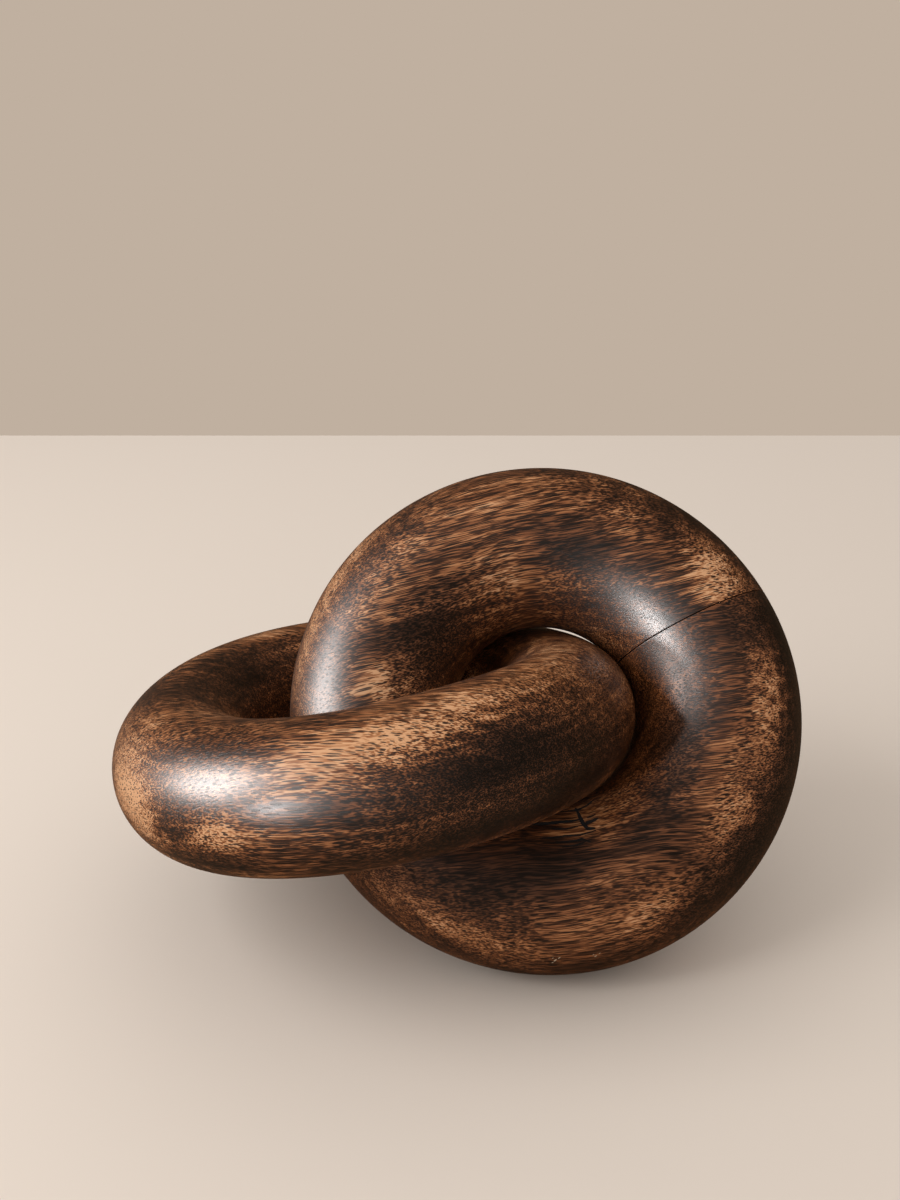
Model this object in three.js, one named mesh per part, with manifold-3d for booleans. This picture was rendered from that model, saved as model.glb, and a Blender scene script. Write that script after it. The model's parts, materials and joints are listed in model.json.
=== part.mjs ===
// Wooden chain link sculpture: two turned rings, linked. One ring is whole and lies down. The other stands
// on edge and leans back: it was sawn in two, closed round the first ring, dowelled and glued.
// Millimetres, +Z up, +X to the right, +Y away from the viewer. The sculpture stands on z = 0.
import * as THREE from "three";
import { mergeVertices } from "three/addons/utils/BufferGeometryUtils.js";
import Module from "manifold-3d";

const wasm = await Module();
wasm.setup();

// Round sections of the two rings. Each hole is wider than the section that passes through it, by a share
// of the two sections together: thicker rings need more room to bend past each other.
const STANDING_TUBE_DIAMETER = 45.4;
const LYING_TUBE_DIAMETER = 38.4;
const STANDING_HOLE_SLACK_SHARE = 0.129;
const LYING_HOLE_SLACK_SHARE = 0.229;

// Wood warps as it dries: the lying ring has become a slight saddle, which rises by this height at two
// opposite places, the first of them this many degrees round it, and dips as much between them
const WARP_HEIGHT = 2.1;
const WARP_TURN = 126.4;

// How the rings are posed: angles in degrees, how far the lying ring's centre is from the middle of the
// standing ring's tube, and the clearance where the rings come closest
const STANDING_LEAN_BACK = 40.8;
const LYING_DIP_BACK = 13.5;
const LYING_DIP_LEFT = 6.6;
const LYING_SHIFT_RIGHT = 0.8;
const LYING_SHIFT_FORWARD = 4.7;
const LINK_CLEARANCE = 0.35;

// Patch sanded flat under the standing ring
const REST_FLAT_DEPTH = 0.6;

// The straight saw cut through the standing ring: its slope on the ring's face in degrees, its distance
// from the ring's centre, and the glue line that it leaves
const CUT_SLOPE = 25.2;
const CUT_OFFSET = 3.3;
const GLUE_LINE = 0.3;

// Two dowels at each of the two glued joints
const DOWEL_DIAMETER = 8;
const DOWEL_LENGTH = 30;
const DOWEL_CHAMFER = 1;
const DOWEL_SPACING = 18;
const DOWEL_CLEARANCE = 0.3;

// Facets
const RING_STEPS = 80;
const TUBE_SIDES = 32;
const DOWEL_SIDES = 20;

// Settling of the lying ring: the drop per step, the most it may drop, and the samples round each ring
const SETTLE_STEP = 0.02;
const SETTLE_LIMIT = 20;
const SETTLE_SAMPLES = 180;

const standingTube = STANDING_TUBE_DIAMETER / 2;
const lyingTube = LYING_TUBE_DIAMETER / 2;
const bothTubes = STANDING_TUBE_DIAMETER + LYING_TUBE_DIAMETER;
const standingHole = LYING_TUBE_DIAMETER + STANDING_HOLE_SLACK_SHARE * bothTubes;
const lyingHole = STANDING_TUBE_DIAMETER + LYING_HOLE_SLACK_SHARE * bothTubes;
const standingRadius = standingTube + standingHole / 2;
const lyingRadius = lyingTube + lyingHole / 2;
const outerRadius = Math.max(standingRadius + standingTube, lyingRadius + lyingTube);

const degrees = THREE.MathUtils.degToRad;

const finishes = {
  lying: new THREE.MeshStandardMaterial({ color: 0x5a3826, roughness: 0.38, metalness: 0 }),
  upper: new THREE.MeshStandardMaterial({ color: 0x60402b, roughness: 0.38, metalness: 0 }),
  lower: new THREE.MeshStandardMaterial({ color: 0x43291c, roughness: 0.36, metalness: 0 }),
  dowel: new THREE.MeshStandardMaterial({ color: 0xcfae80, roughness: 0.7, metalness: 0 }),
};

// A closed geometry as a manifold-3d solid, and back
function solidOf(geometry) {
  const bare = geometry.clone();
  bare.deleteAttribute("normal");
  bare.deleteAttribute("uv");
  const merged = mergeVertices(bare, 1e-4);
  return new wasm.Manifold(
    new wasm.Mesh({
      numProp: 3,
      vertProperties: new Float32Array(merged.attributes.position.array),
      triVerts: new Uint32Array(merged.index.array),
    }),
  );
}

function geometryOf(solid) {
  const { vertProperties, triVerts } = solid.getMesh();
  const geometry = new THREE.BufferGeometry();
  geometry.setAttribute("position", new THREE.BufferAttribute(vertProperties, 3));
  geometry.setIndex(new THREE.BufferAttribute(triVerts, 1));
  geometry.computeVertexNormals();
  return geometry;
}

function piece(name, geometry, material) {
  const mesh = new THREE.Mesh(geometry, material);
  mesh.name = name;
  return mesh;
}

// A turned ring about its own Z axis
function ring(centreRadius, tubeRadius) {
  return new THREE.TorusGeometry(centreRadius, tubeRadius, TUBE_SIDES, RING_STEPS);
}

// How far the warped ring's centre line rises over its own XY plane on the ray through a point
function warpAt(x, y) {
  return WARP_HEIGHT * Math.cos(2 * (Math.atan2(y, x) - degrees(WARP_TURN)));
}

function warped(geometry) {
  const at = geometry.attributes.position;
  for (let i = 0; i < at.count; i += 1) {
    at.setZ(i, at.getZ(i) + warpAt(at.getX(i), at.getY(i)));
  }
  return geometry;
}

// A dowel along Y with chamfered ends, as a turned profile that starts and ends on the axis
function dowel() {
  const radius = DOWEL_DIAMETER / 2;
  const half = DOWEL_LENGTH / 2;
  const profile = [
    [0, -half],
    [radius - DOWEL_CHAMFER, -half],
    [radius, -half + DOWEL_CHAMFER],
    [radius, half - DOWEL_CHAMFER],
    [radius - DOWEL_CHAMFER, half],
    [0, half],
  ];
  return new THREE.LatheGeometry(
    profile.map(([x, y]) => new THREE.Vector2(x, y)),
    DOWEL_SIDES,
  );
}

function dowelBore() {
  const radius = DOWEL_DIAMETER / 2 + DOWEL_CLEARANCE;
  return new THREE.CylinderGeometry(radius, radius, DOWEL_LENGTH + 2 * DOWEL_CLEARANCE, DOWEL_SIDES);
}

const sculpture = new THREE.Group();

// The standing ring leans back and touches the table with the flat under its lowest point. Inside the
// leaning group, the cut group is turned so that the saw cut is square to its Y axis.
const leaning = new THREE.Group();
leaning.rotation.x = degrees(90 - STANDING_LEAN_BACK);
leaning.position.z =
  standingRadius * Math.cos(degrees(STANDING_LEAN_BACK)) + standingTube - REST_FLAT_DEPTH;
const cutGroup = new THREE.Group();
cutGroup.rotation.z = degrees(CUT_SLOPE);
leaning.add(cutGroup);
sculpture.add(leaning);
sculpture.updateMatrixWorld(true);

// Everything under the table's plane, in the cut group's own frame
const blockSide = 4 * outerRadius;
const underTable = new THREE.BoxGeometry(blockSide, blockSide, blockSide)
  .translate(0, 0, -blockSide / 2)
  .applyMatrix4(cutGroup.matrixWorld.clone().invert());

// The dowels' centres: where the saw cut crosses the ring's centre line on the right and on the left
const jointReach = Math.sqrt(standingRadius ** 2 - CUT_OFFSET ** 2);
const dowelPlaces = [];
for (const [side, x] of [["right", jointReach], ["left", -jointReach]]) {
  for (const [face, z] of [["front", DOWEL_SPACING / 2], ["back", -DOWEL_SPACING / 2]]) {
    dowelPlaces.push({ name: `${side}_joint_dowel_${face}`, at: [x, CUT_OFFSET, z] });
  }
}

// One part of the sawn ring: the ring, less the dowels' bores and all beyond its face at the saw cut
function sawnPart(side) {
  const beyond = new THREE.BoxGeometry(blockSide, blockSide, blockSide);
  beyond.translate(0, CUT_OFFSET - side * (blockSide / 2 - GLUE_LINE / 2), 0);
  let solid = solidOf(ring(standingRadius, standingTube)).subtract(solidOf(beyond));
  for (const { at } of dowelPlaces) {
    solid = solid.subtract(solidOf(dowelBore().translate(...at)));
  }
  return geometryOf(solid.subtract(solidOf(underTable)));
}

cutGroup.add(piece("standing_ring_upper", sawnPart(1), finishes.upper));
cutGroup.add(piece("standing_ring_lower", sawnPart(-1), finishes.lower));
for (const { name, at } of dowelPlaces) {
  const pin = piece(name, dowel(), finishes.dowel);
  pin.position.set(...at);
  cutGroup.add(pin);
}

// The lying ring dips to the back and to the left. It starts at the height of the standing ring's centre
// and settles until it clears the tube above it.
const lyingShape = solidOf(warped(ring(lyingRadius, lyingTube)));
const lying = piece("lying_ring", geometryOf(lyingShape), finishes.lying);
const lyingAxis = new THREE.Vector3(
  -Math.tan(degrees(LYING_DIP_LEFT)),
  Math.tan(degrees(LYING_DIP_BACK)),
  1,
).normalize();
const lyingBack = new THREE.Vector3().crossVectors(lyingAxis, new THREE.Vector3(1, 0, 0)).normalize();
const lyingRight = new THREE.Vector3().crossVectors(lyingBack, lyingAxis);
lying.quaternion.setFromRotationMatrix(
  new THREE.Matrix4().makeBasis(lyingRight, lyingBack, lyingAxis),
);
lying.position.set(-standingRadius + LYING_SHIFT_RIGHT, -LYING_SHIFT_FORWARD, leaning.position.z);
sculpture.add(lying);

// Points along a ring's centre line, raised where it is warped
function centreLine(object, radius, rise) {
  object.updateMatrixWorld(true);
  return Array.from({ length: SETTLE_SAMPLES }, (_, i) => {
    const angle = (2 * Math.PI * i) / SETTLE_SAMPLES;
    const [x, y] = [radius * Math.cos(angle), radius * Math.sin(angle)];
    return new THREE.Vector3(x, y, rise(x, y)).applyMatrix4(object.matrixWorld);
  });
}

const standingLine = centreLine(cutGroup, standingRadius, () => 0);

function linkClearance() {
  let least = Infinity;
  for (const point of centreLine(lying, lyingRadius, warpAt)) {
    for (const other of standingLine) {
      least = Math.min(least, point.distanceTo(other));
    }
  }
  return least - standingTube - lyingTube;
}

let drop = 0;
while (linkClearance() < LINK_CLEARANCE) {
  drop += SETTLE_STEP;
  if (drop > SETTLE_LIMIT) {
    throw new Error("the holes are too small for the rings to pass through each other");
  }
  lying.position.z -= SETTLE_STEP;
}

// The finished sculpture is centred over the origin
const middle = new THREE.Box3().setFromObject(sculpture, true).getCenter(new THREE.Vector3());
sculpture.position.set(-middle.x, -middle.y, 0);

export default sculpture;
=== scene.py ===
# %% [markdown]
# # Two linked rings of stained wood
#
# A shelf ornament: two turned rings, linked like a chain. One lies down, and the other stands on edge,
# leans back, and was sawn in two so that it could be closed round the first. Nearly everything that the
# eye reads here is in the wood: a dark stain, rubbed through to coppery wood in patches, with open pores
# under a satin lacquer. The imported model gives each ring's place. This script gives the rings a smooth
# surface, and then spends its effort on that wood.

import json
import math

import bmesh
import bpy
import numpy as np
from mathutils import Matrix, Vector
from mathutils.geometry import delaunay_2d_cdt


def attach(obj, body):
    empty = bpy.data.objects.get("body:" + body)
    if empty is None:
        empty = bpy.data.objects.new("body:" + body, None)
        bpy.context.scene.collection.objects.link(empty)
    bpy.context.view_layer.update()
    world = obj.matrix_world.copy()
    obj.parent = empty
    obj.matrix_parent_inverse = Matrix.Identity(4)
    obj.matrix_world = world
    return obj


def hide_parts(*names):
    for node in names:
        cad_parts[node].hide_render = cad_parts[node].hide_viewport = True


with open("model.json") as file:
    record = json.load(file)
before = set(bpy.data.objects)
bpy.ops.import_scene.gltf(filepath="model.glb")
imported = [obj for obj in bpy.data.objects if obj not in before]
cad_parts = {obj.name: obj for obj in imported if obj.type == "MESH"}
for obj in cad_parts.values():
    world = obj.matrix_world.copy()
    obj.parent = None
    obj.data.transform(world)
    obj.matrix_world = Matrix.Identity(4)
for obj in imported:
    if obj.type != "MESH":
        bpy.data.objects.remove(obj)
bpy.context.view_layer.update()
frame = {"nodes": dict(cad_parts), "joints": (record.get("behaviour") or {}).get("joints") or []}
nodes = frame["nodes"]

# %% [markdown]
# ## The two rings
#
# Each ring is a torus: a round section carried round a circle. It could be Blender's own torus, but then
# the patches of the finish could not be placed on it, and the sawn ring could not end on a flat cut. So a
# ring is kept here as a centre, three directions and two radii, and a point on it is named by two angles:
# one round the ring, one round its section. The standing ring's centre is the joint's place, because the
# lying ring travels round it. The lying ring's centre is the mean of its CAD corners. Its wood has warped a
# little, into a saddle that rises and dips by 2.1 mm.

# %% Sizes and angles
MM = 0.001
LYING_CENTRE_LINE = 51.5 * MM
LYING_TUBE = 19.2 * MM
STANDING_CENTRE_LINE = 47.3 * MM
STANDING_TUBE = 22.7 * MM
LEAN_BACK = math.radians(40.8)
DIP_LEFT = math.radians(6.6)
DIP_BACK = math.radians(13.5)
WARP_HEIGHT = 2.1 * MM
WARP_TURN = math.radians(126.4)


# %% A ring and its two angles
class Ring:
    """A torus: its centre, three directions as rows (across to the right, up its face, along its axis),
    the radii of its centre line and of its tube, and the height of its warp."""

    def __init__(self, centre, axis, centre_line, tube, warp):
        self.centre = np.array(centre, float)
        axis = np.array(axis, float) / np.linalg.norm(axis)
        across = np.array((1.0, 0, 0)) - axis[0] * axis
        across /= np.linalg.norm(across)
        self.axes = np.array((across, np.cross(axis, across), axis))
        self.centre_line = centre_line
        self.tube = tube
        self.warp = warp

    def rise(self, around):
        """How far the centre line lies over the ring's plane: warp * cos(2 * (around - turn))."""
        return self.warp * np.cos(2 * (around - WARP_TURN))

    def points(self, around, section, tube):
        """centre line + tube * cos section out from the axis, rise + tube * sin section along it."""
        out = self.centre_line + tube * np.cos(section)
        height = self.rise(around) + tube * np.sin(section)
        local = np.stack((out * np.cos(around), out * np.sin(around), height), -1)
        return local @ self.axes + self.centre

    def angles(self, points):
        """The two angles of each point, and its distance from the centre line, found back from its place."""
        x, y, z = ((points - self.centre) @ self.axes.T).T
        around = np.arctan2(y, x)
        out, height = np.hypot(x, y) - self.centre_line, z - self.rise(around)
        return around, np.arctan2(height, out), np.hypot(out, height)


# %% Both rings in their places
def cad_corners(node_name):
    """The corners of a CAD node, as an array."""
    return np.array([v.co for v in nodes[node_name].data.vertices])


def off_surface(ring, node_name):
    """The furthest that a CAD node's corners lie outside the ring's surface, in mm."""
    return (ring.angles(cad_corners(node_name))[2] - ring.tube).max() / MM


lying_centre = cad_corners("lying_ring").mean(0)
lying_axis = (-math.tan(DIP_LEFT), math.tan(DIP_BACK), 1)
lying = Ring(lying_centre, lying_axis, LYING_CENTRE_LINE, LYING_TUBE, WARP_HEIGHT)
standing_centre = frame["joints"][0]["pos_m"]
standing_axis = (0, -math.cos(LEAN_BACK), math.sin(LEAN_BACK))
standing = Ring(standing_centre, standing_axis, STANDING_CENTRE_LINE, STANDING_TUBE, 0)
print("furthest CAD corner outside the lying ring: %.3f mm" % off_surface(lying, "lying_ring"))
print("outside the standing ring: %.3f mm" % off_surface(standing, "standing_ring_upper"))

# %% [markdown]
# ## From a grid to a mesh
#
# A surface of two parameters is a grid of points, and a grid becomes a mesh by joining each point to its
# neighbours. A ring that is whole wraps round in both directions. Hand sanding never leaves a perfect
# torus, so the tube's radius wanders by about a tenth of a millimetre: too little to see as a shape, but
# enough to bend the highlights as on real wood.

# %% Sanding and grids
SANDING_WANDER = 0.12 * MM
# each wave's turns round the ring, turns round the section, and phase
SANDING_WAVES = ((3, 2, 0.0), (5, -1, 1.3), (2, -3, 4.1))


def sanded(ring, around, section):
    """tube + wander * the mean of sin(turns * around + turns * section + phase) over the waves."""
    wave = sum(np.sin(a * around + b * section + phase) for a, b, phase in SANDING_WAVES)
    return ring.tube + SANDING_WANDER * wave / len(SANDING_WAVES)


def grid_faces(rows, columns, close_rows, close_columns):
    """Quads between each point of a grid and the next ones, wrapping where the grid is closed."""
    i, j = np.meshgrid(
        np.arange(rows if close_rows else rows - 1),
        np.arange(columns if close_columns else columns - 1),
        indexing="ij",
    )
    i2, j2 = (i + 1) % rows, (j + 1) % columns
    corners = (i * columns + j, i2 * columns + j, i2 * columns + j2, i * columns + j2)
    return np.stack(corners, -1).reshape(-1, 4)


# %% A mesh object
MERGE_DISTANCE = 0.001 * MM


def make_piece(name, points, faces):
    """A mesh object at the origin, with its doubles merged and its faces turned outwards."""
    mesh = bpy.data.meshes.new(name)
    mesh.from_pydata(points.tolist(), [], [list(f) for f in faces])
    work = bmesh.new()
    work.from_mesh(mesh)
    bmesh.ops.remove_doubles(work, verts=work.verts, dist=MERGE_DISTANCE)
    bmesh.ops.recalc_face_normals(work, faces=work.faces)
    work.to_mesh(mesh)
    work.free()
    mesh.shade_smooth()
    piece = bpy.data.objects.new(name, mesh)
    bpy.context.scene.collection.objects.link(piece)
    print(name, len(mesh.vertices), "points", len(mesh.polygons), "faces")
    return piece


# %% The lying ring
LYING_STEPS = 420
SECTION_STEPS = 200

around, section = np.meshgrid(
    np.linspace(0, 2 * np.pi, LYING_STEPS, endpoint=False),
    np.linspace(0, 2 * np.pi, SECTION_STEPS, endpoint=False),
    indexing="ij",
)
lying_points = lying.points(around, section, sanded(lying, around, section)).reshape(-1, 3)
lying_faces = grid_faces(LYING_STEPS, SECTION_STEPS, True, True)
lying_piece = make_piece("lying_ring_wood", lying_points, lying_faces)

# %% [markdown]
# ## The sawn ring
#
# The standing ring is two parts, glued at one straight saw cut that crosses the ring twice. A ring made
# whole and cut with a boolean would leave ragged triangles along the joint, just where the eye goes. So
# each part's grid is made to end on the cut: at each angle of the section, the angle round the ring where
# the surface meets the cut is worked out, and the grid runs from one cut to the other. Its rows crowd
# together towards the cut, where the edge is eased by a tenth of a millimetre, as glue and sanding leave
# it. The cut faces are flat and hold the bores of two dowels each. The flat that the ring stands on comes
# last: what would reach below the table is pressed up to it.

# %% The two parts' outer surfaces
CUT_SLOPE = math.radians(25.2)
CUT_OFFSET = 3.3 * MM
GLUE_LINE = 0.3 * MM
PART_STEPS = 300
END_CROWDING = 0.9
EASE_DEPTH = 0.1 * MM
EASE_WIDTH = 0.35 * MM

cut_along = np.array((math.cos(CUT_SLOPE), math.sin(CUT_SLOPE), 0)) @ standing.axes
cut_normal = np.array((-math.sin(CUT_SLOPE), math.cos(CUT_SLOPE), 0)) @ standing.axes
cut_across = standing.axes[2]


def cut_distance(points):
    """How far each point lies above the middle of the saw cut."""
    return (points - standing.centre) @ cut_normal - CUT_OFFSET


def part_surface(side):
    """The grid of the upper (+1) or lower (-1) part. The ring meets a plane at height h over its centre at
    slope + asin(h / distance from the axis), and again at slope + half a turn less that."""
    section = np.linspace(0, 2 * np.pi, SECTION_STEPS, endpoint=False)
    height = CUT_OFFSET + side * GLUE_LINE / 2
    rise = np.arcsin(height / (standing.centre_line + standing.tube * np.cos(section)))
    start = CUT_SLOPE + (rise if side > 0 else np.pi - rise)
    end = CUT_SLOPE + (np.pi - rise if side > 0 else 2 * np.pi + rise)
    even = np.linspace(0, 1, PART_STEPS)
    crowded = even - END_CROWDING * np.sin(2 * np.pi * even) / (2 * np.pi)
    around = start + (end - start) * crowded[:, None]
    section = np.broadcast_to(section, around.shape)
    rough = standing.points(around, section, standing.tube)
    near = np.clip(1 - np.abs(cut_distance(rough)) / EASE_WIDTH, 0, 1)
    tube = sanded(standing, around, section) - EASE_DEPTH * near**2
    return standing.points(around, section, tube)


# %% A flat face with round holes
DOWEL_BORE = 4.3 * MM
DOWEL_SPACING = 18 * MM
DOWEL_HEIGHTS = (DOWEL_SPACING / 2, -DOWEL_SPACING / 2)
BORE_DEPTH = 15.3 * MM
BORE_SIDES = 32
# a triangle whose middle is nearer to a bore's centre than this share of its radius lies in the bore
INSIDE_BORE = 0.98
# the triangulation works in mm, and takes points this close for one
SAME_POINT = 1e-5


def circle(centre, radius, sides):
    """Points round a circle: centre + radius * (cos, sin)."""
    angle = np.linspace(0, 2 * np.pi, sides, endpoint=False)
    return np.stack((centre[0] + radius * np.cos(angle), centre[1] + radius * np.sin(angle)), -1)


def filled(rim, bores):
    """The corners and triangles that fill a flat rim and keep inside every outline, less those in a bore,
    and the bores' own outlines."""
    circles = [circle(bore, DOWEL_BORE, BORE_SIDES) for bore in bores]
    edges, first = [], 0
    for outline in (rim, *circles):
        count = len(outline)
        edges += [(first + k, first + (k + 1) % count) for k in range(count)]
        first += count
    scale = 1 / MM
    flat = [Vector(p) for p in np.concatenate((rim, *circles)) * scale]
    corners, _, triangles, _, _, _ = delaunay_2d_cdt(flat, edges, [], 1, SAME_POINT)
    corners = np.array(corners) * MM
    middles = corners[np.array(triangles)].mean(1)
    keep = np.ones(len(triangles), bool)
    for along, across in bores:
        keep &= np.hypot(middles[:, 0] - along, middles[:, 1] - across) > DOWEL_BORE * INSIDE_BORE
    return corners, [tuple(t) for t, k in zip(triangles, keep) if k], circles


# %% Cut faces with their dowel bores
def into_cut(points):
    """Points as seen in the cut's own plane: along the cut, and along the ring's axis."""
    from_centre = points - standing.centre
    return np.stack((from_centre @ cut_along, from_centre @ cut_across), -1)


def out_of_cut(flat, height):
    """Back into space: centre + first * along + second * across + height * normal."""
    return standing.centre + flat[:, :1] * cut_along + flat[:, 1:] * cut_across + height * cut_normal


def cut_face(rim, reach, side):
    """A flat face that fills a part's end, less two bores, and the bores' walls and floors."""
    height = ((rim - standing.centre) @ cut_normal).mean()
    deep = height + side * (BORE_DEPTH - GLUE_LINE / 2)
    corners, faces, circles = filled(into_cut(rim), [(reach, h) for h in DOWEL_HEIGHTS])
    points = [out_of_cut(corners, height)]
    for outline in circles:
        first = sum(map(len, points))
        points += [out_of_cut(outline, height), out_of_cut(outline, deep)]
        mouth = [first + k for k in range(BORE_SIDES)]
        floor = [k + BORE_SIDES for k in mouth]
        next_mouth, next_floor = mouth[1:] + mouth[:1], floor[1:] + floor[:1]
        faces += list(zip(mouth, next_mouth, next_floor, floor))
        faces.append(tuple(floor))
    return np.concatenate(points), faces


# %% The two sawn parts
JOINT_REACH = math.sqrt(STANDING_CENTRE_LINE**2 - CUT_OFFSET**2)


def standing_part(name, side):
    """One sawn part: its outer grid, a bored face at each end, and its share of the rest flat."""
    surface = part_surface(side)
    points = [surface.reshape(-1, 3)]
    faces = [tuple(f) for f in grid_faces(PART_STEPS, SECTION_STEPS, False, True)]
    for rim in (surface[0], surface[-1]):
        reach = JOINT_REACH if (rim.mean(0) - standing.centre) @ cut_along > 0 else -JOINT_REACH
        more_points, more_faces = cut_face(rim, reach, side)
        first = sum(map(len, points))
        points.append(more_points)
        faces += [tuple(first + k for k in f) for f in more_faces]
    points = np.concatenate(points)
    points[:, 2] = np.maximum(points[:, 2], 0)
    return make_piece(name, points, faces)


upper_piece = standing_part("standing_upper_wood", 1)
lower_piece = standing_part("standing_lower_wood", -1)

# %% [markdown]
# ## Where the stain is rubbed through, with a little painted highlight and shade
#
# After staining, the maker rubs the rings back by hand, so the coppery wood comes through in patches.
# A noise texture alone would put the patches anywhere. Here the main ones are listed one by one: each is a
# soft spot on the ring, given by its two angles, its reach in millimetres along the ring and across it,
# and how strongly it is rubbed (or, below zero, how much stain it kept). The sides that the photograph
# doesn't show get spots of the same kind from a seeded random generator. Every spot's edge is drawn out
# into streaks along the grain. The sum is stored on the mesh as an attribute that the material reads.
# A few spots on the lying ring are painted light: brighter ones at its left end stand partly for the glow
# round the window's highlight, and dark ones under its right end are painted shade where it faces the floor.

# %% Patches
# degrees round the ring, degrees round the section, reach along and across in mm, strength
LYING_PATCHES = (
    # The next three spots are rubbed copper at the lying ring's left end, made brighter than the wear alone
    # to stand in for the glow round the window's highlight there: part wear, part painted highlight.
    (214, 10, 9, 6.5, 0.62),
    (216, -14, 7, 5, 0.30),
    (205, 30, 9, 8, 0.34),
    (228, -12, 3, 5, -0.35),
    (240, -38, 8, 4, -0.20),
    (243, -3, 5, 3.5, 0.45),
    (243, 53, 8, 3, -0.16),
    (262, 38, 11, 6, 0.52),
    (262, 8, 8, 3, -0.10),
    (270, -20, 16, 6, 0.02),
    # painted shade: darkens the lower front of the lying ring's right end, where it faces the floor
    (279, -6, 14, 5, -0.16),
    (281, 52, 12, 6, 0.44),
    (300, 70, 12, 6, 0.28),
    (301, 18, 18, 7, -0.50),
    # The next three are painted shade: they darken the underside of the lying ring's right end, which faces
    # the floor, beyond the dark stain above it.
    (282, -42, 25, 6, -0.34),
    (310, -32, 17, 5, -0.40),
    (326, -12, 15, 8, -0.36),
    (327, 80, 12, 5, 0.16),
    (346, 88, 12, 5, 0.28),
    (0, 105, 12, 5, 0.12),
    (132, 90, 9, 4, 0.30),
    (160, 84, 12, 4, 0.26),
    (160, 125, 25, 14, -0.36),
    (190, 102, 14, 6, -0.12),
    (180, 64, 12, 6, -0.14),
)
UPPER_PATCHES = (
    (38, 66, 6.5, 7, 0.46),
    (34, 84, 5, 5, 0.30),
    (54, 62, 4, 12, -0.20),
    (45, 32, 18, 6, -0.30),
    (30, 104, 8, 6, -0.20),
    (60, 84, 8, 3, 0.15),
    (78, 108, 9, 5, -0.30),
    (100, 70, 18, 3, 0.20),
    (95, 52, 14, 3, 0.12),
    (105, 42, 22, 2.5, -0.14),
    (109, 121, 9, 6, 0.30),
    (140, 70, 14, 4, 0.22),
    (155, 32, 18, 4, 0.42),
    (165, 62, 10, 3, -0.12),
    (176, 95, 5, 4, 0.58),
    (150, 130, 18, 10, -0.28),
    (60, 125, 16, 8, -0.12),
)
LOWER_PATCHES = (
    (10, 60, 6, 6, 0.14),
    (18, 40, 8, 10, -0.25),
    (18, 85, 8, 8, -0.14),
    (358, 64, 9, 4, 0.34),
    (337, 86, 10, 5, 0.22),
    (322, 68, 8, 3, 0.28),
    (0, 32, 34, 7, -0.34),
    (293, 56, 10, 4, 0.26),
    (285, 84, 14, 4, 0.12),
    (247, 42, 14, 3.5, 0.24),
    (246, 82, 12, 6, -0.20),
    (274, 54, 9, 3, 0.18),
    (268, 100, 14, 6, -0.36),
    (288, 112, 6, 3, 0.18),
    (284, 125, 8, 5, 0.24),
    (262, 126, 6, 5, -0.30),
    (300, 130, 14, 6, 0.18),
    (315, 110, 14, 5, -0.14),
    (320, 40, 16, 5, -0.26),
    (345, 125, 10, 8, -0.16),
    (300, 20, 30, 4, -0.14),
)

# %% Patches on the hidden sides
SEEDED_PATCHES = 26
SEEDED_ALONG = (7, 20)
SEEDED_ACROSS = (4, 10)
SEEDED_STRENGTH = (-0.28, 0.42)


def seeded_patches(seed, first_section, last_section):
    """Random spots all round the ring, between two angles of its section."""
    draw = np.random.default_rng(seed)
    ranges = ((0, 360), (first_section, last_section), SEEDED_ALONG, SEEDED_ACROSS, SEEDED_STRENGTH)
    return np.stack([draw.uniform(low, high, SEEDED_PATCHES) for low, high in ranges], -1)


# %% Streaks along the grain
STREAK_REACH = 1.6 * MM
# the streaks' slow drift to one side: its size in radians, and its turn in radians per mm along the grain
STREAK_DRIFT = 1.1
STREAK_DRIFT_TURN = 0.23
# each wave's radians per mm across the grain, radians per mm along the ring's axis, drift and phase
STREAK_WAVES = ((1.7, 0.0, 1, 0.0), (0.0, 2.9, -1, 1.0), (0.9, 0.9, 0, 2.0))
# how far the grain is turned from the ring's first direction, in degrees
GRAIN = {"lying": -12, "upper": 12, "lower": 6}


def ragged(ring, points, grain_degrees):
    """point + reach * grain * the sum of sin(turn * across + turn * height + drift + phase)."""
    turn = math.radians(grain_degrees)
    local = (points - ring.centre) @ ring.axes.T / MM
    along = math.cos(turn) * local[:, 0] + math.sin(turn) * local[:, 1]
    across = math.cos(turn) * local[:, 1] - math.sin(turn) * local[:, 0]
    drift = STREAK_DRIFT * np.sin(STREAK_DRIFT_TURN * along)
    push = sum(np.sin(a * across + b * local[:, 2] + c * drift + d) for a, b, c, d in STREAK_WAVES)
    grain = math.cos(turn) * ring.axes[0] + math.sin(turn) * ring.axes[1]
    return points + STREAK_REACH * push[:, None] * grain


# %% The rubbing, with its painted highlight and shade, stored on the meshes
def rubbing_and_painted_light(ring, points, patches, grain_degrees):
    """Sum of soft spots: strength * exp(-(distance along / reach)^2 - (distance across / reach)^2)."""
    around, section, _ = ring.angles(ragged(ring, points, grain_degrees))
    total = np.zeros(len(points))
    for u, v, along, across, strength in patches:
        du = (around - math.radians(u) + np.pi) % (2 * np.pi) - np.pi
        dv = (section - math.radians(v) + np.pi) % (2 * np.pi) - np.pi
        far = (du * ring.centre_line / (along * MM)) ** 2 + (dv * ring.tube / (across * MM)) ** 2
        total += strength * np.exp(-far)
    return total


def store_rubbing_and_painted_light(piece, ring, patches, grain_degrees):
    """Keeps the rubbing and any painted highlight and shade at each point, as the attribute that the wood
    reads.
    """
    mesh = piece.data
    co = np.empty(len(mesh.vertices) * 3)
    mesh.vertices.foreach_get("co", co)
    values = rubbing_and_painted_light(ring, co.reshape(-1, 3), patches, grain_degrees)
    mesh.attributes.new("rubbing_and_painted_light", "FLOAT", "POINT").data.foreach_set("value", values.astype(np.float32))
    print(piece.name, "rubbing from %.2f to %.2f" % (values.min(), values.max()))


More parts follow.
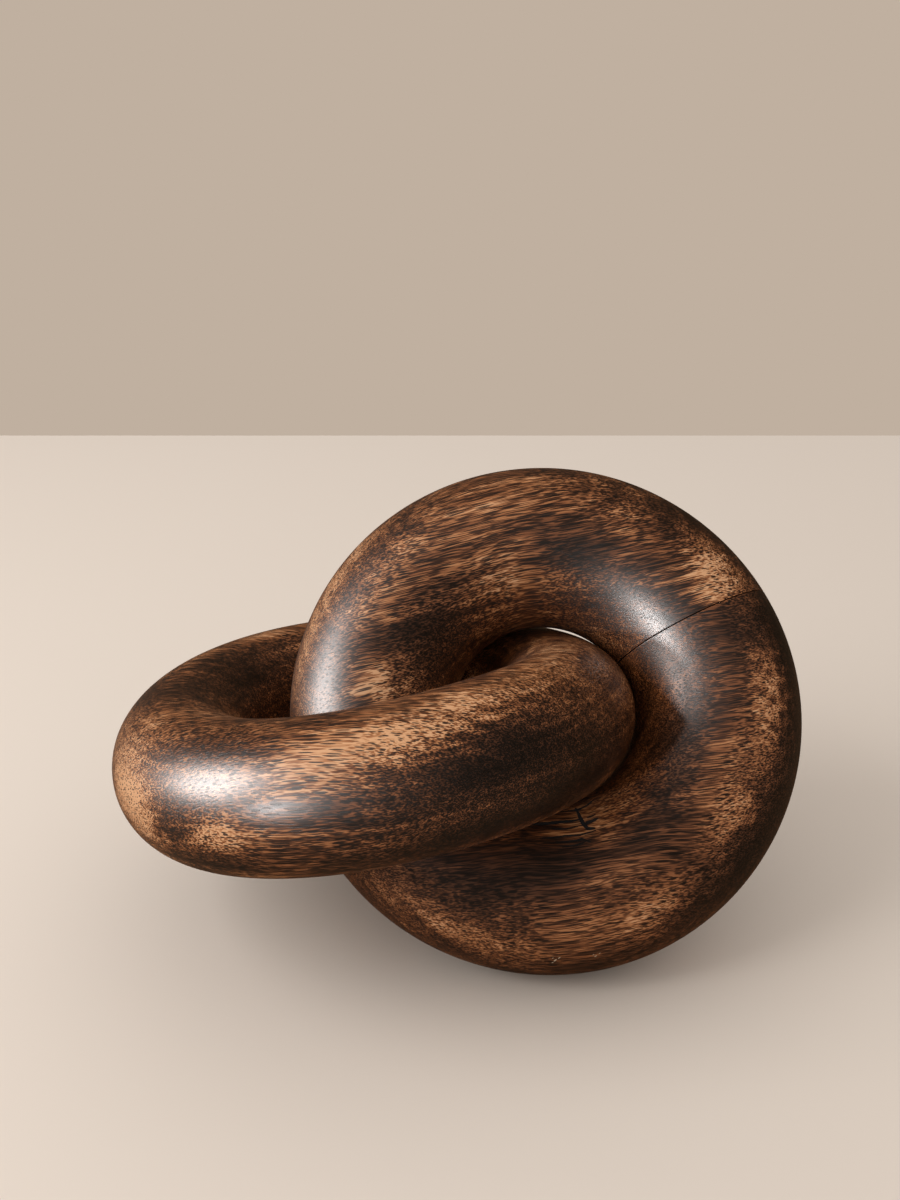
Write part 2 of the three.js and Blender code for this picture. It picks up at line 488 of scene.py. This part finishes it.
lying_underside = seeded_patches(11, 110, 290)
standing_back = seeded_patches(23, 190, 360)
store_rubbing_and_painted_light(lying_piece, lying, (*LYING_PATCHES, *lying_underside), GRAIN["lying"])
store_rubbing_and_painted_light(upper_piece, standing, (*UPPER_PATCHES, *standing_back), GRAIN["upper"])
store_rubbing_and_painted_light(lower_piece, standing, (*LOWER_PATCHES, *standing_back), GRAIN["lower"])

# %% [markdown]
# ## Stained and lacquered hardwood
#
# The wood is acacia, turned, stained dark, rubbed back and lacquered satin. It is made as a solid texture:
# it fills space, and the ring's surface only cuts through it. So the same pores are long dashes where the
# surface runs with the grain and round dots where it crosses it, at the left end of the lying ring and
# inside the standing one. A texture laid round the ring would show a seam, and would bend with it, which
# no board does. Every pattern has a size in millimetres along the grain, across it and through the board:
#
# - growth layers 1.6 mm thick and nearly parallel to the ring's face, as in a flat-sawn board;
# - blotches of a centimetre or two, where the stain took unevenly;
# - bands a millimetre thick that run with the grain;
# - fibres, which have sharper edges and end the rubbed patches in streaks;
# - pores, dark ellipsoids that also dent the lacquer.
#
# Real fibres are too fine to show here, so they are drawn as bundles 0.3 mm thick and 5 to 8 mm long. The
# pores are as coarse as they need to be seen. Slow waves bend the grain by a millimetre or so.
#
# The tone is a base, plus the rubbing with its painted highlight and shade, plus a share of each pattern. It
# picks the colour from one ramp, from stain in the pores to bare coppery wood. The standing ring's lower
# part took the stain most evenly, so its patterns have less contrast. The lacquer is a dielectric with an
# index of refraction near 1.5, and satin, so the highlights are soft and colourless.


# %% Colours and a node helper
def linear(code):
    """An sRGB hex colour as linear RGBA: ((c + 0.055) / 1.055) ^ 2.4 for all but the darkest values."""
    rgb = [int(code[k : k + 2], 16) / 255 for k in (1, 3, 5)]
    return (*(((c + 0.055) / 1.055) ** 2.4 if c > 0.04045 else c / 12.92 for c in rgb), 1.0)


def pick(sockets, key):
    """The socket with this name, or with this identifier where several share a name."""
    return next(s for s in sockets if key in (s.identifier, s.name))


def node(tree, kind, inputs=None, **settings):
    """Adds one node: settings are its properties, inputs are values or outputs of other nodes by socket."""
    made = tree.nodes.new(kind)
    for key, value in settings.items():
        setattr(made, key, value)
    for key, value in (inputs or {}).items():
        socket = pick(made.inputs, key)
        if isinstance(value, bpy.types.NodeSocket):
            tree.links.new(value, socket)
        else:
            socket.default_value = value
    return made


# %% Coordinates that run with the grain
# the slow waves' length, and how far they can bend the grain along it, across it and through the board,
# all in mm
WAVE_LENGTH = 30
GRAIN_BEND = (2.0, 3.5, 3.5)
NOISE_MIDDLE = 0.5


def along_grain(tree, ring, grain_degrees, layer_tilt):
    """Millimetres from the ring's centre, turned so that X runs with the grain and Z across the growth
    layers, and bent: place + bend * (noise - its middle)."""
    turned = Matrix.Rotation(-math.radians(grain_degrees), 3, "Z") @ Matrix(ring.axes.tolist())
    turned = Matrix.Rotation(math.radians(layer_tilt), 3, "X") @ turned
    place = node(tree, "ShaderNodeTexCoord")
    straight = node(
        tree,
        "ShaderNodeMapping",
        {
            "Vector": place.outputs["Object"],
            "Location": -(turned @ Vector(ring.centre)) / MM,
            "Rotation": turned.to_euler(),
            "Scale": (1 / MM,) * 3,
        },
    ).outputs[0]
    waves = node(tree, "ShaderNodeTexNoise", {"Vector": straight, "Scale": 1 / WAVE_LENGTH, "Detail": 1.0})
    centred = node(
        tree,
        "ShaderNodeVectorMath",
        {"Vector": waves.outputs["Color"], "Vector_001": (NOISE_MIDDLE,) * 3},
        operation="SUBTRACT",
    )
    return node(
        tree,
        "ShaderNodeVectorMath",
        {"Vector": centred.outputs[0], "Vector_001": GRAIN_BEND, "Vector_002": straight},
        operation="MULTIPLY_ADD",
    ).outputs[0]


# %% Patterns in the wood
# each pattern's size in mm along the grain, across it and through the board, and its detail
SOFT_PATTERNS = {
    "layers": ((60, 30, 1.6), 2.0),
    "blotches": ((20, 8, 8), 2.0),
    "bands": ((26, 1.1, 1.1), 2.0),
}
# the fibres' thickness in mm, and the noise values between which a fibre goes from dark to light
FIBRE_THICKNESS = 0.29
FIBRE_EDGE = (0.4, 0.6)
# a pore's room in mm across the grain, its room along it as a multiple of the fibres' length, and the
# distances from its middle, as shares of that room, between which it ends
PORE_ROOM = 0.55
PORE_LENGTH = 1.15
PORE_EDGE = (0.30, 0.41)
PORE_DARKNESS = 0.9


def wood_patterns(tree, bent, fibre_length):
    """Each pattern's strength by name: noise of place / size, made steeper for the fibres, and for the
    pores the nearness of the closest of many scattered points."""
    fibre_size = (fibre_length, FIBRE_THICKNESS, FIBRE_THICKNESS)
    pore_size = (PORE_LENGTH * fibre_length, PORE_ROOM, PORE_ROOM)
    patterns = {**SOFT_PATTERNS, "fibres": (fibre_size, 1.0), "pores": (pore_size, 0.0)}
    found = {}
    for name, (size, detail) in patterns.items():
        place = node(
            tree,
            "ShaderNodeVectorMath",
            {"Vector": bent, "Vector_001": [1 / length for length in size]},
            operation="MULTIPLY",
        ).outputs[0]
        kind, output = ("TexVoronoi", "Distance") if name == "pores" else ("TexNoise", "Fac")
        texture = node(tree, "ShaderNode" + kind, {"Vector": place, "Scale": 1.0, "Detail": detail})
        found[name] = texture.outputs[output]
    for name, (low, high), (at_low, at_high) in (
        ("fibres", FIBRE_EDGE, (0.0, 1.0)),
        ("pores", PORE_EDGE, (PORE_DARKNESS, 0.0)),
    ):
        found[name] = node(
            tree,
            "ShaderNodeMapRange",
            {"Value": found[name], "From Min": low, "From Max": high, "To Min": at_low, "To Max": at_high},
            interpolation_type="SMOOTHSTEP",
        ).outputs[0]
    return found


# %% Stain and lacquer
STAIN_TO_BARE = (
    (0.00, "#110803"),
    (0.20, "#201106"),
    (0.32, "#311a0b"),
    (0.42, "#462612"),
    (0.52, "#5d361c"),
    (0.62, "#86502c"),
    (0.74, "#b2784b"),
    (0.88, "#d8a67c"),
)
PORE_STAIN = "#160b04"
RUBBED_AND_PAINTED_LIGHT_SHARE = 0.72
PATTERN_SHARES = {"layers": 0.42, "blotches": 0.34, "bands": 0.44, "fibres": 0.31}
PORE_ROUGHNESS = 0.06
LACQUER_IOR = 1.5
# how deep a pore dents the lacquer, and how far a fibre stands up in it, in mm
PORE_DENT = 0.012
FIBRE_RISE = 0.004


def added_up(tree, start, parts):
    """start + the sum of value * weight."""
    for value, weight in parts:
        start = node(
            tree,
            "ShaderNodeMath",
            {"Value": value, "Value_001": weight, "Value_002": start},
            operation="MULTIPLY_ADD",
        ).outputs[0]
    return start


def stained_wood(name, ring, grain_degrees, layer_tilt, fibre_length, base, contrast, gloss):
    """The wood in a ring's own axes: tone = base + share * rubbing (with any painted highlight and shade) +
    contrast * the sum of share * (pattern - its middle), then the ramp, the pores' stain over it, and the
    lacquer."""
    material = bpy.data.materials.new(name)
    material.use_nodes = True
    tree = material.node_tree
    tree.nodes.clear()
    found = wood_patterns(tree, along_grain(tree, ring, grain_degrees, layer_tilt), fibre_length)
    # the rubbing map, with the painted highlight and painted shade of the lying ring
    rubbed_and_painted_light = node(tree, "ShaderNodeAttribute", attribute_name="rubbing_and_painted_light").outputs["Fac"]
    middle = base - NOISE_MIDDLE * contrast * sum(PATTERN_SHARES.values())
    weighted = [(found[pattern], share * contrast) for pattern, share in PATTERN_SHARES.items()]
    tone = added_up(tree, middle, [(rubbed_and_painted_light, RUBBED_AND_PAINTED_LIGHT_SHARE), *weighted])
    ramp = node(tree, "ShaderNodeValToRGB", {"Fac": tone})
    stops = ramp.color_ramp.elements
    while len(stops) < len(STAIN_TO_BARE):
        stops.new(0.5)  # placed by the next loop
    for stop, (position, code) in zip(stops, STAIN_TO_BARE):
        stop.position = position
        stop.color = linear(code)
    colour = node(
        tree,
        "ShaderNodeMix",
        {"Factor_Float": found["pores"], "A_Color": ramp.outputs["Color"], "B_Color": linear(PORE_STAIN)},
        data_type="RGBA",
    )
    height = added_up(tree, 0.0, [(found["pores"], -PORE_DENT), (found["fibres"], FIBRE_RISE)])
    bump = node(tree, "ShaderNodeBump", {"Height": height, "Distance": MM, "Strength": 1.0})
    shader = node(
        tree,
        "ShaderNodeBsdfPrincipled",
        {
            "Base Color": pick(colour.outputs, "Result_Color"),
            "Roughness": added_up(tree, gloss, [(found["pores"], PORE_ROUGHNESS)]),
            "IOR": LACQUER_IOR,
            "Normal": bump.outputs["Normal"],
        },
    )
    node(tree, "ShaderNodeOutputMaterial", {"Surface": shader.outputs[0]})
    print(name, len(tree.nodes), "nodes")
    return material


# %% The wood of each part
# degrees that the growth layers lean from the ring's face, length of the fibres in mm, base tone, contrast
# of the patterns, roughness of the lacquer
for piece, ring, part, *look in (
    (lying_piece, lying, "lying", 0, 5.2, 0.515, 1.0, 0.38),
    (upper_piece, standing, "upper", 38, 6.5, 0.505, 1.0, 0.42),
    (lower_piece, standing, "lower", -25, 7.5, 0.49, 0.76, 0.42),
):
    wood = stained_wood("stained_acacia_" + part, ring, GRAIN[part], *look)
    piece.data.materials.append(wood)

# %% [markdown]
# ## Cracks and pale specks
#
# Inside the bottom of the standing ring the wood has checked as it dried: a little net of dark cracks. A
# hairline runs over its top, and a few pale specks sit near the foot. All of these could be colours in the
# material, but thin lines would need a large image to stay sharp. So each one is a ribbon that follows the
# surface, tapered at both ends, and 0.03 mm over the wood so that the two surfaces don't fight. A crack gets
# no light inside, so it is nearly black and dull, and a speck is one dull pale colour.

# %% Courses on the standing ring
# width in mm, then the corners of the course as degrees round the ring and round the section
CRACKS = (
    (1.50, (283.4, 144), (283.6, 136), (283.6, 132), (284, 126), (285, 121.5), (288, 120)),
    (1.20, (262, 128.5), (268, 130), (274, 131.3), (283.4, 130.5)),
    (0.80, (274, 143), (283.2, 140.3), (290, 143), (295, 147)),
    (1.10, (284.2, 126), (287.2, 126.2), (291, 127)),
    (0.65, (286.4, 130.2), (290.8, 130.8)),
    (0.65, (270, 125.2), (276.2, 124.6), (283, 125.5)),
    (0.65, (265, 117.5), (275.3, 119.1), (281.2, 118.2), (288, 118.4)),
    (0.65, (271, 115), (278.7, 114.5), (281.6, 115), (284.4, 111.6)),
    (0.50, (273.5, 111), (279.1, 111.4), (282.6, 112.6)),
    (0.14, (94, 104), (86, 109), (79, 113), (68, 119)),
)
PALE_SPECKS = (
    (0.34, (270.4, 30.5), (270.9, 33)),
    (0.26, (271.3, 33.5), (271.7, 35)),
    (0.22, (269.9, 28.6), (270.3, 29.6)),
    (0.20, (270.0, 33.5), (270.2, 34.6)),
    (0.26, (279.3, 31.5), (279.8, 33)),
    (0.20, (280.3, 34), (280.6, 35)),
    (0.20, (278.9, 33.8), (279.2, 34.6)),
)

# %% Ribbons along the courses
LIFT = 0.03 * MM
STEPS_PER_LEG = 8
# the part of half a sine wave that the taper takes, and the power that makes its ends blunter
TAPER = (0.06, 0.94)
TAPER_POWER = 0.6


def ribbons(name, courses):
    """Strips of quads: each course cut into short steps, and offset to both sides by half of
    width * sin(half a turn * share of the length) ^ power."""
    points, faces = [], []
    for width, *stops in courses:
        stops = np.radians(stops) * (standing.centre_line, standing.tube)
        far = np.linspace(0, len(stops) - 1, STEPS_PER_LEG * (len(stops) - 1) + 1)
        line = np.stack([np.interp(far, range(len(stops)), stops[:, k]) for k in (0, 1)], -1)
        ahead = np.gradient(line, axis=0)
        side = np.stack((-ahead[:, 1], ahead[:, 0]), -1) / np.linalg.norm(ahead, axis=1)[:, None]
        taper = np.sin(np.pi * np.linspace(*TAPER, len(line))) ** TAPER_POWER
        half = (width * MM / 2 * taper)[:, None] * side
        first = sum(map(len, points))
        for edge in (line - half, line + half):
            around, section = edge[:, 0] / standing.centre_line, edge[:, 1] / standing.tube
            points.append(standing.points(around, section, sanded(standing, around, section) + LIFT))
        left = range(first, first + len(line))
        right = range(first + len(line), first + 2 * len(line))
        faces += zip(left[:-1], left[1:], right[1:], right[:-1])
    return make_piece(name, np.concatenate(points), faces)


def plain(name, code, roughness):
    """A material of one colour."""
    material = bpy.data.materials.new(name)
    material.use_nodes = True
    shader = material.node_tree.nodes["Principled BSDF"]
    shader.inputs["Base Color"].default_value = linear(code)
    shader.inputs["Roughness"].default_value = roughness
    return material


cracks_piece = ribbons("drying_cracks", CRACKS)
cracks_piece.data.materials.append(plain("crack_shadow", "#0b0603", 0.8))
# a few pale specks near the foot, in one dull pale colour
specks_piece = ribbons("pale_specks", PALE_SPECKS)
specks_piece.data.materials.append(plain("pale_speck_colour", "#b8a58c", 0.7))

# %% [markdown]
# ## Dowels
#
# The four dowels sit in closed bores, where no camera sees them. They keep their CAD shape and get bare
# beech: pale, unlacquered and so dull, with the short darker flecks that beech has. The flecks are noise,
# three times as long as wide. The fine grooves of a fluted dowel are left out.

# %% Bare beech
BEECH_FLECKS_PER_METRE = (900, 300, 900)
BEECH_ROUGHNESS = 0.7
beech = bpy.data.materials.new("bare_beech")
beech.use_nodes = True
tree = beech.node_tree
place = node(tree, "ShaderNodeTexCoord").outputs["Object"]
stretch = node(tree, "ShaderNodeMapping", {"Vector": place, "Scale": BEECH_FLECKS_PER_METRE})
flecks = node(tree, "ShaderNodeTexNoise", {"Vector": stretch.outputs[0], "Scale": 1.0, "Detail": 3.0})
tint = node(
    tree,
    "ShaderNodeMix",
    {"Factor_Float": flecks.outputs["Fac"], "A_Color": linear("#b98f5f"), "B_Color": linear("#e0c49a")},
    data_type="RGBA",
)
shader = tree.nodes["Principled BSDF"]
shader.inputs["Roughness"].default_value = BEECH_ROUGHNESS
tree.links.new(pick(tint.outputs, "Result_Color"), shader.inputs["Base Color"])
dowels = [cad for name, cad in nodes.items() if "dowel" in name]
for dowel in dowels:
    dowel.data.materials.clear()
    dowel.data.materials.append(beech)
print("dowels:", [dowel.name for dowel in dowels])

# %% [markdown]
# ## Riding on the bodies
#
# Each new piece takes the place of its CAD node, which is hidden, and moves with that node's body, so that
# the lying ring can be turned with its body.
# The cracks and pale specks stand for no solid and only ride on the standing ring.

# %% Ride and replace
for piece, body, cad, slot in (
    (lying_piece, "lying_ring", "lying_ring", "lying_wood"),
    (upper_piece, "standing_ring", "standing_ring_upper", "upper_wood"),
    (lower_piece, "standing_ring", "standing_ring_lower", "lower_wood"),
):
    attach(piece, body)
    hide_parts(cad)
    print(piece.name, "rides on", body, "and replaces", cad)
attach(cracks_piece, "standing_ring")
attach(specks_piece, "standing_ring")

# %% [markdown]
# ## Floor
#
# A plain floor of pale limestone, honed and matt. It ends behind the object, and beyond it the camera sees
# the world's own colour, like a wall. A glossy floor would mirror the lamps towards a camera on the other
# side, so it has no gloss at all. The lacquer mirrors a darker floor than the camera sees, because a pale
# one would make the dark undersides look milky. Light Path tells the two kinds of ray apart.

# %% Pale limestone
FLOOR_BACK = 0.42
FLOOR_REACH = 3.0
FLOOR_SEEN = "#e6ded7"
FLOOR_MIRRORED = "#6e5a46"
FLOOR_ROUGHNESS = 0.9
floor_mesh = bpy.data.meshes.new("floor")
floor_mesh.from_pydata(
    [(-FLOOR_REACH, -FLOOR_REACH, 0), (FLOOR_REACH, -FLOOR_REACH, 0)]
    + [(FLOOR_REACH, FLOOR_BACK, 0), (-FLOOR_REACH, FLOOR_BACK, 0)],
    [],
    [(0, 1, 2, 3)],
)
floor = bpy.data.objects.new("floor", floor_mesh)
bpy.context.scene.collection.objects.link(floor)
stone = bpy.data.materials.new("pale_limestone")
stone.use_nodes = True
tree = stone.node_tree
mirror_ray = node(tree, "ShaderNodeLightPath").outputs["Is Glossy Ray"]
shade = node(
    tree,
    "ShaderNodeMix",
    {"Factor_Float": mirror_ray, "A_Color": linear(FLOOR_SEEN), "B_Color": linear(FLOOR_MIRRORED)},
    data_type="RGBA",
)
shader = tree.nodes["Principled BSDF"]
shader.inputs["Roughness"].default_value = FLOOR_ROUGHNESS
shader.inputs["Specular IOR Level"].default_value = 0.0
tree.links.new(pick(shade.outputs, "Result_Color"), shader.inputs["Base Color"])
floor_mesh.materials.append(stone)
print("floor %.1f m wide, ends %.2f m behind the object" % (2 * FLOOR_REACH, FLOOR_BACK))

# %% [markdown]
# ## Light
#
# The light comes from a window low on the left. It makes the oval highlight on the lying ring and the tall
# one at the left of the standing ring. A narrow beam beside it reaches only the inner curve at the joint.
# One large lamp could do all of this, but its light would also wash out the rubbed patches next to the
# highlights. So the window and the beam are seen by the gloss alone, and a softer glow from the same side
# lights the wood's colour and casts the shadow. The world has three parts: a wall that the camera sees, a
# room that fills the shadows, and a dim warm surround that the gloss mirrors.

# %% The room
WALL = ("#c0b0a0", 1.0)
ROOM = ("#fff6ec", 0.7)
MIRRORED = ("#ffd2a4", 0.095)
world = bpy.data.worlds.new("soft_room")
bpy.context.scene.world = world
world.use_nodes = True
tree = world.node_tree
tree.nodes.clear()
rays = node(tree, "ShaderNodeLightPath")
wall, room, mirrored = (
    node(tree, "ShaderNodeBackground", {"Color": linear(code), "Strength": strength}).outputs[0]
    for code, strength in (WALL, ROOM, MIRRORED)
)
lit = node(
    tree,
    "ShaderNodeMixShader",
    {"Fac": rays.outputs["Is Glossy Ray"], "Shader": room, "Shader_001": mirrored},
)
seen = node(
    tree,
    "ShaderNodeMixShader",
    {"Fac": rays.outputs["Is Camera Ray"], "Shader": lit.outputs[0], "Shader_001": wall},
)
node(tree, "ShaderNodeOutputWorld", {"Surface": seen.outputs[0]})


# %% The lamps
OBJECT_MIDDLE = (0, 0, 0.06)
JOINT_CURVE = (0.048, -0.010, 0.080)
WINDOW_COLOUR = "#fcf8f6"
WINDOW_SIDE = 0.46
BEAM_RADIUS = 0.035
BEAM_ANGLE = math.radians(3.8)
BEAM_BLEND = 0.6
GLOW_COLOUR = "#fffaf4"
GLOW_SIDE = 0.6


def aimed(name, kind, target, code, azimuth, elevation, distance, power):
    """A lamp that faces a target, seen from it at an azimuth (0 is the viewer, + is right)."""
    lamp = bpy.data.lights.new(name, kind)
    lamp.energy = power
    lamp.color = linear(code)[:3]
    a, e = math.radians(azimuth), math.radians(elevation)
    out = Vector((math.sin(a) * math.cos(e), -math.cos(a) * math.cos(e), math.sin(e)))
    light = bpy.data.objects.new(name, lamp)
    light.location = Vector(target) + out * distance
    light.rotation_euler = (-out).to_track_quat("-Z", "Y").to_euler()
    bpy.context.scene.collection.objects.link(light)
    print(name, "%.1f W at" % power, [round(x, 3) for x in light.location])
    return light


place = {"azimuth": -79, "elevation": 22, "distance": 0.9}
window = aimed("window", "AREA", OBJECT_MIDDLE, WINDOW_COLOUR, power=23.0, **place)
window.data.shape = "RECTANGLE"
window.data.size = window.data.size_y = WINDOW_SIDE
window.visible_diffuse = False

place = {"azimuth": -45, "elevation": 8, "distance": 0.8}
beam = aimed("window_gap", "SPOT", JOINT_CURVE, WINDOW_COLOUR, power=135.0, **place)
beam.data.shadow_soft_size = BEAM_RADIUS
beam.data.spot_size = BEAM_ANGLE
beam.data.spot_blend = BEAM_BLEND
beam.visible_diffuse = False

place = {"azimuth": -70, "elevation": 40, "distance": 0.9}
glow = aimed("window_glow", "AREA", OBJECT_MIDDLE, GLOW_COLOUR, power=4.0, **place)
glow.data.shape = "RECTANGLE"
glow.data.size = glow.data.size_y = GLOW_SIDE
glow.visible_glossy = False

# %% [markdown]
# ## Camera
#
# The camera stands where the photograph was taken from. Its height, pitch and focal length are those at
# which the two tori have the outlines seen there. The lens has no shift and no blur, and colours pass
# through the Standard view, so that a hex value in this file is close to the colour in the picture.

# %% Camera
FOCAL_PIXELS = 1400
IMAGE_HEIGHT_PIXELS = 1200
CAMERA_PLACE = Vector((-2.6, -331.7, 248.6)) * MM
CAMERA_PITCH = math.radians(25)
NEAREST_SEEN = 0.01
lens = bpy.data.cameras.new("photo_view")
lens.sensor_fit = "AUTO"
lens.lens = FOCAL_PIXELS / IMAGE_HEIGHT_PIXELS * lens.sensor_width
lens.clip_start = NEAREST_SEEN
camera = bpy.data.objects.new("photo_view", lens)
camera.location = CAMERA_PLACE
camera.rotation_euler = (math.pi / 2 - CAMERA_PITCH, 0, 0)
bpy.context.scene.collection.objects.link(camera)
bpy.context.scene.camera = camera
bpy.context.scene.view_settings.view_transform = "Standard"
print("lens %.1f mm" % lens.lens)
